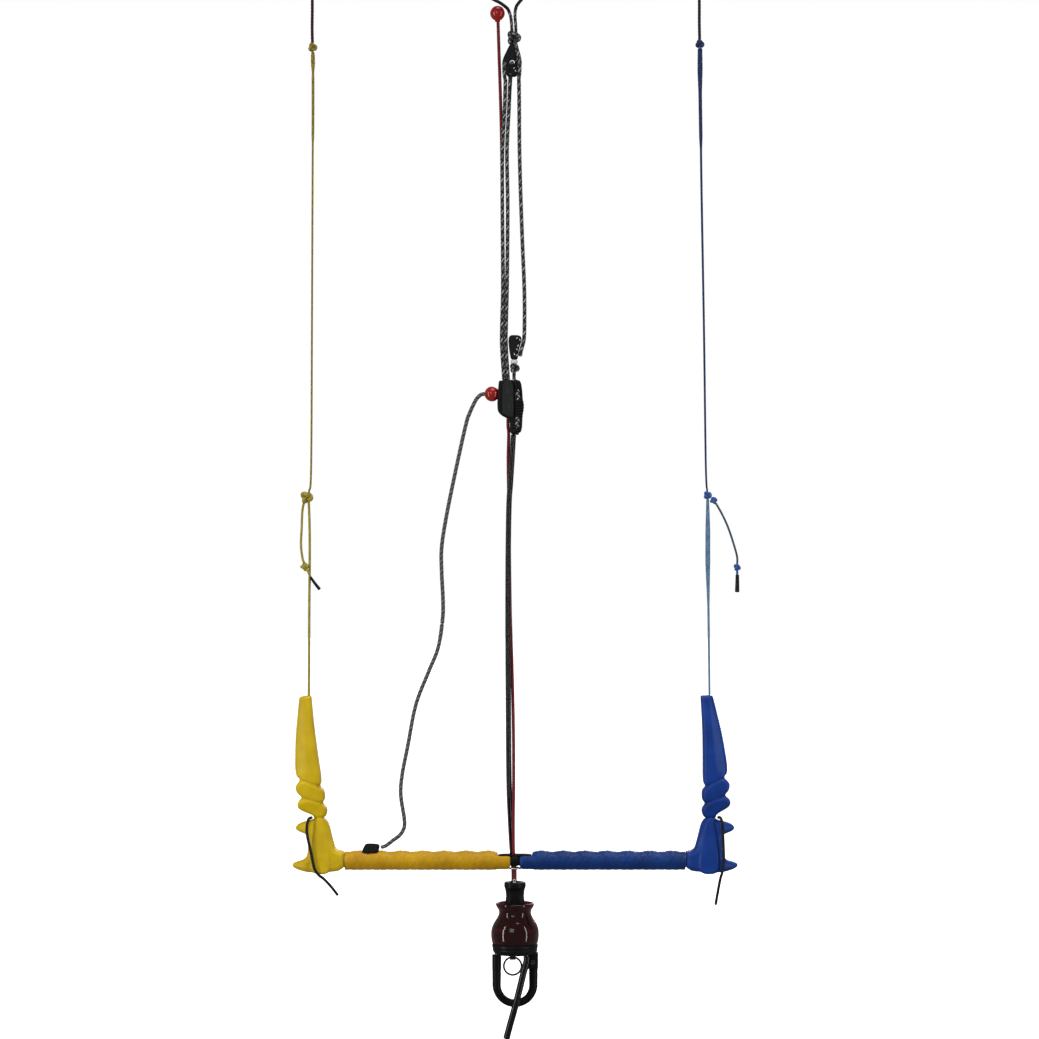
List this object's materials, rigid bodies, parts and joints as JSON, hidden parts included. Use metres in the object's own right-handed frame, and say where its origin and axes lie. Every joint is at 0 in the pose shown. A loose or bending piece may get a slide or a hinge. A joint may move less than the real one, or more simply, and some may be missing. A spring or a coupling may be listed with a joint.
{
  "type": "kitesurf control bar",
  "caption": "Kitesurf control bar: harness loop with push-away quick release, sliding and steering bar with foam grips and floats, trim cleat and ropes, steering leaders and front-line ends.",
  "frame": {"origin": "where the harness hook seats, at the lowest point inside the chicken loop", "axes": "+Z along the depower line towards the kite, +X along the bar to the rider's right hand, -Y faces the rider"},
  "size_m": [0.5381, 0.0574, 1.2761],
  "materials": {
    "loop_rubber": "satin black rubber cover",
    "black_plastic": "moulded, fine spark texture",
    "handle_red": "dark red translucent moulding",
    "steel": "polished stainless",
    "stick_black": "glossy extruded tube",
    "depower_black": "glossy twin tube",
    "safety_red": "braided red line",
    "grip_yellow": "soft foam, fine diamond texture",
    "grip_blue": "soft foam, fine diamond texture",
    "float_yellow": "soft foam skin",
    "float_blue": "soft foam skin",
    "tube_metal": "dark anodised",
    "bungee_black": "braided elastic cord",
    "rope_grey": "black braid with light flecks",
    "line_yellow": "coated braid",
    "line_blue": "coated braid",
    "line_maroon": "thin braided line",
    "line_navy": "thin braided line",
    "line_black": "thin braided line",
    "ball_red": "glossy moulded ball",
    "bead_white": "smooth moulded bead",
    "tab_black": "stitched webbing"
  },
  "bodies": {
    "housing": {"lower_cup": "black_plastic", "core_post": "black_plastic", "core_cap": "black_plastic", "loop_hinge_pin": "steel", "leash_eye": "handle_red", "return_spring": "steel"},
    "release": {"release_handle": "handle_red"},
    "hook_loop": {"chicken_loop": "loop_rubber", "loop_tongue": "steel"},
    "stick": {"donkey_stick": "stick_black", "stick_pivot": "steel"},
    "leash": {"leash_ring": "steel"},
    "centre_line": {"spin_collar": "black_plastic", "swivel_bolt": "steel", "anchor_pin": "steel", "depower_tube": "depower_black", "safety_line_lower": "safety_red", "cleat_body": "black_plastic", "cleat_cover": "black_plastic", "cleat_jaw": "steel", "cleat_lashing": "tab_black", "trim_ball": "ball_red", "trim_tail": "rope_grey", "lower_tab": "tab_black", "lower_bead": "bead_white", "lower_knot": "rope_grey", "trim_rope_a": "rope_grey", "trim_rope_b": "rope_grey", "trim_rope_c": "rope_grey", "safety_line_upper": "safety_red"},
    "slider": {"wear_ring": "steel"},
    "bar": {"centre_insert": "black_plastic", "bar_tube": "tube_metal", "grip_left": "grip_yellow", "grip_right": "grip_blue", "bar_end_left": "float_yellow", "bar_end_right": "float_blue", "float_left": "float_yellow", "float_right": "float_blue", "leader_core_left": "line_yellow", "leader_core_right": "line_blue", "bungee_left": "bungee_black", "bungee_right": "bungee_black", "dock_patch": "tab_black"},
    "left_line": {"leader_left": "line_yellow", "adjuster_left": "line_yellow", "adjuster_knots_left": "line_yellow", "line_knot_left": "line_yellow", "pigtail_left": "line_maroon"},
    "right_line": {"leader_right": "line_blue", "adjuster_right": "line_blue", "adjuster_knots_right": "line_blue", "line_knot_right": "line_navy", "pigtail_right": "line_navy"},
    "front_lines": {"trim_block": "tab_black", "top_knot": "rope_grey", "yoke_ropes": "rope_grey", "safety_ball": "ball_red", "front_pigtail_left": "line_black", "front_pigtail_right": "line_black"}
  },
  "joints": [
    {"name": "handle_push", "type": "slide", "parent": "housing", "child": "release", "axis": [0, 0, 1], "range_m": [0, 0.012], "stiffness_N_per_m": 400, "springref_m": -0.006, "deforming": ["return_spring"]},
    {"name": "loop_open", "type": "hinge", "parent": "housing", "child": "hook_loop", "pos_m": [0.021, 0, 0.045], "axis": [0, 1, 0], "range_deg": [-90, 0]},
    {"name": "stick_turn", "type": "hinge", "parent": "housing", "child": "stick", "pos_m": [0.014, -0.0126, 0.054], "axis": [0, 0, 1], "range_deg": [0, 110]},
    {"name": "leash_swing", "type": "hinge", "parent": "housing", "child": "leash", "pos_m": [-0.0028, 0, 0.0502], "axis": [1, 0, 0], "range_deg": [-10, 60]},
    {"name": "swivel", "type": "hinge", "parent": "housing", "child": "centre_line", "pos_m": [0, 0, 0.12], "axis": [0, 0, 1], "continuous": true},
    {"name": "depower_slide", "type": "slide", "parent": "centre_line", "child": "slider", "axis": [0, 0, 1], "range_m": [-0.006, 0.45], "deforming": ["depower_tube", "safety_line_lower", "trim_tail"]},
    {"name": "bar_tilt", "type": "hinge", "parent": "slider", "child": "bar", "pos_m": [0, 0, 0.157], "axis": [0, 1, 0], "range_deg": [-25, 25]},
    {"name": "left_lead", "type": "hinge", "parent": "bar", "child": "left_line", "pos_m": [-0.2474, 0, 0.3634], "axis": [0, 1, 0], "range_deg": [-25, 25]},
    {"name": "right_lead", "type": "hinge", "parent": "bar", "child": "right_line", "pos_m": [0.2334, 0, 0.3648], "axis": [0, 1, 0], "range_deg": [-25, 25]},
    {"name": "trim_pull", "type": "slide", "parent": "centre_line", "child": "front_lines", "axis": [0, 0, 1], "range_m": [-0.28, 0], "deforming": ["trim_rope_a", "trim_rope_b", "trim_rope_c", "safety_line_upper"]}
  ],
  "couplings": [
    {"joint": "left_lead", "follows": "bar_tilt", "ratio": -1},
    {"joint": "right_lead", "follows": "bar_tilt", "ratio": -1}
  ]
}
